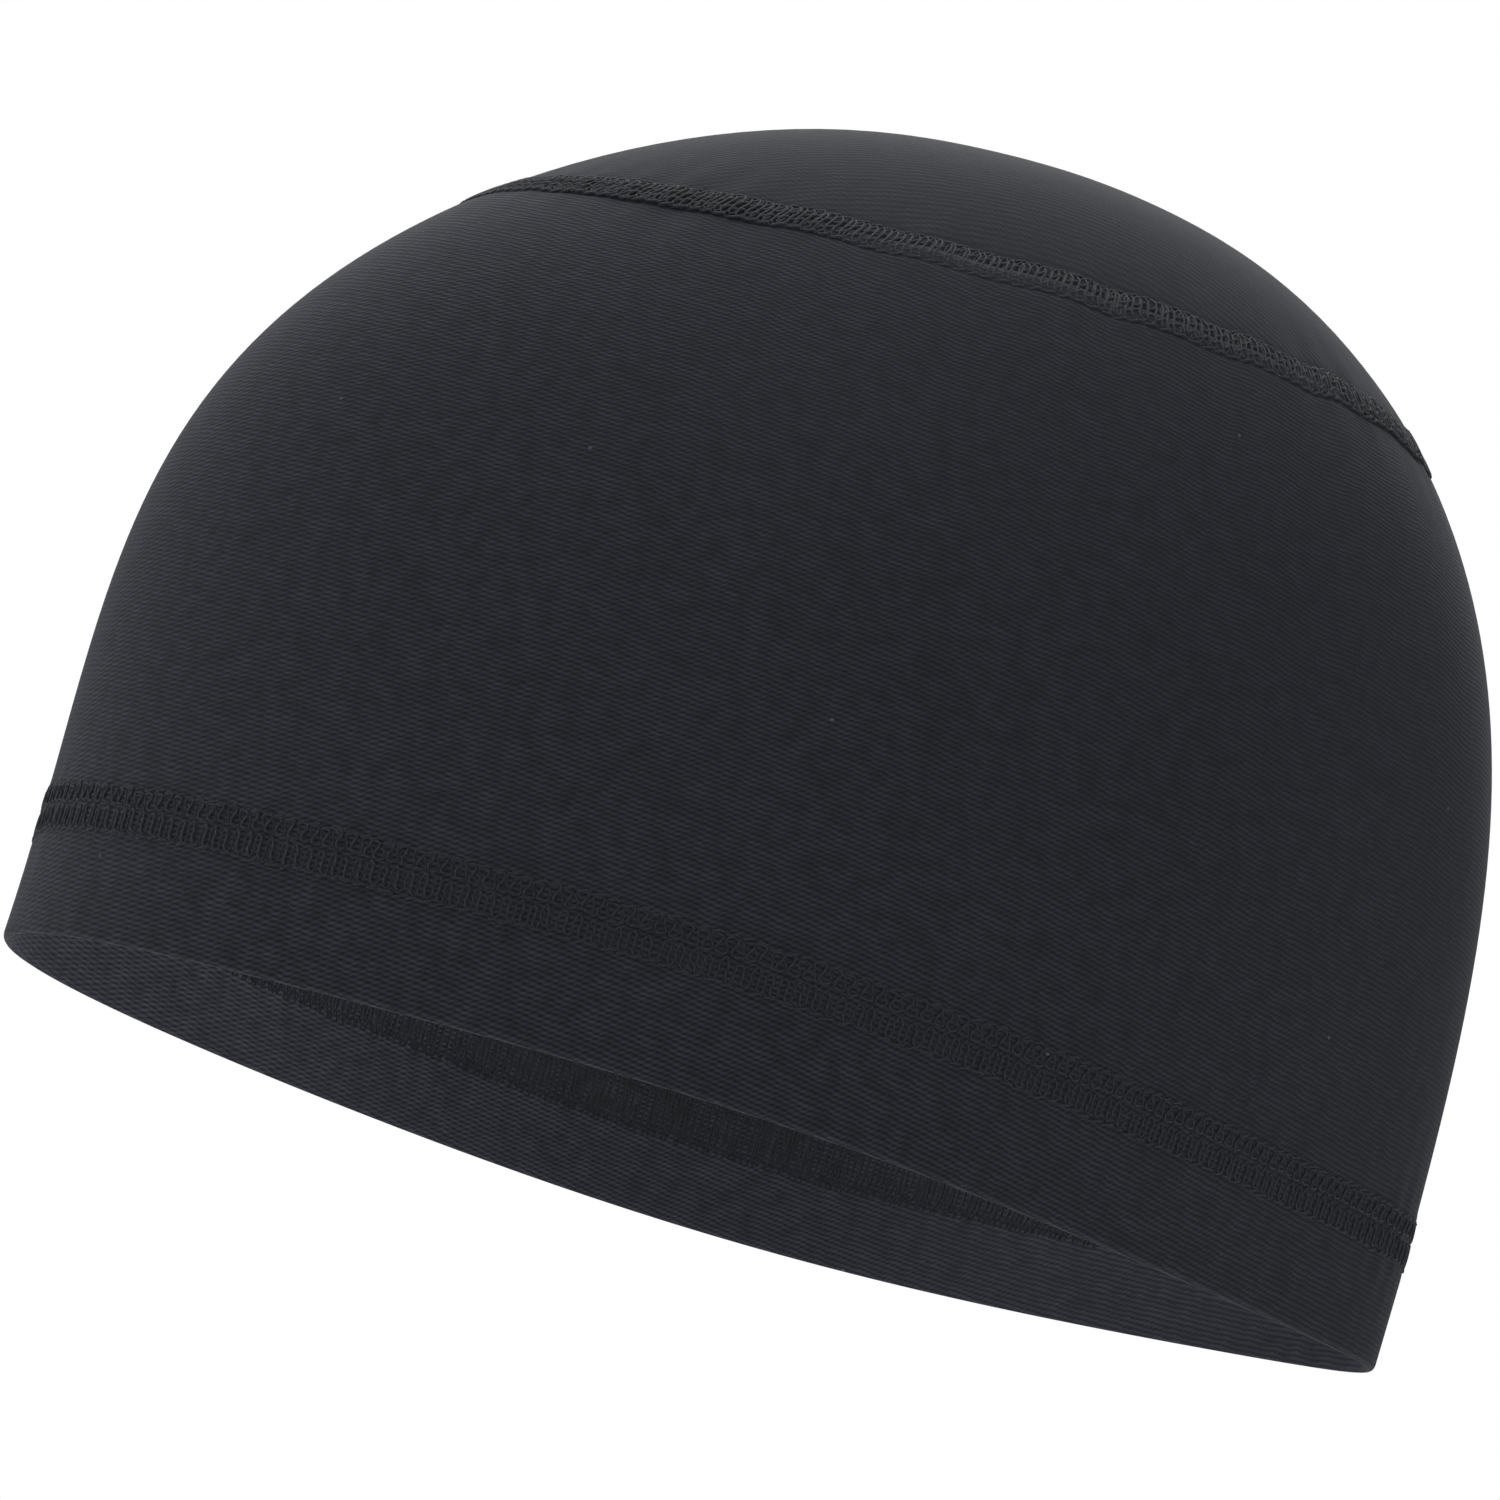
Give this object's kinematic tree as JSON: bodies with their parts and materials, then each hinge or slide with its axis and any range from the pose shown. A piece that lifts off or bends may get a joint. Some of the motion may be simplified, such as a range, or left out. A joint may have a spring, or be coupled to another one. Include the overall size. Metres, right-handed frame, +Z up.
{
  "type": "skull cap",
  "caption": "Close-fitting knit skull cap with an oval top panel, a wrap-round side band, a flatlock crown seam and a turned-up coverstitched hem, shown in its worn form.",
  "frame": {"origin": "highest point of the cap's inner face, where the crown of the wearer's head sits", "axes": "+Z up with the head upright, -Y towards the forehead, +Y towards the nape, +X towards the wearer's left side; the rim drops by 17.2 degrees from the forehead to the nape"},
  "size_m": [0.153, 0.2024, 0.1693],
  "materials": {
    "panel_cloth": "smooth dense stretch knit, charcoal black, faint satin sheen",
    "band_cloth": "smooth dense stretch knit, charcoal black, fine lines round the head",
    "seam_thread": "black textured polyester sewing thread"
  },
  "bodies": {
    "root": {"top_panel": "panel_cloth", "side_band": "band_cloth", "crown_seam": "seam_thread", "hem_stitch_outside": "seam_thread", "hem_stitch_inside": "seam_thread"}
  },
  "joints": []
}
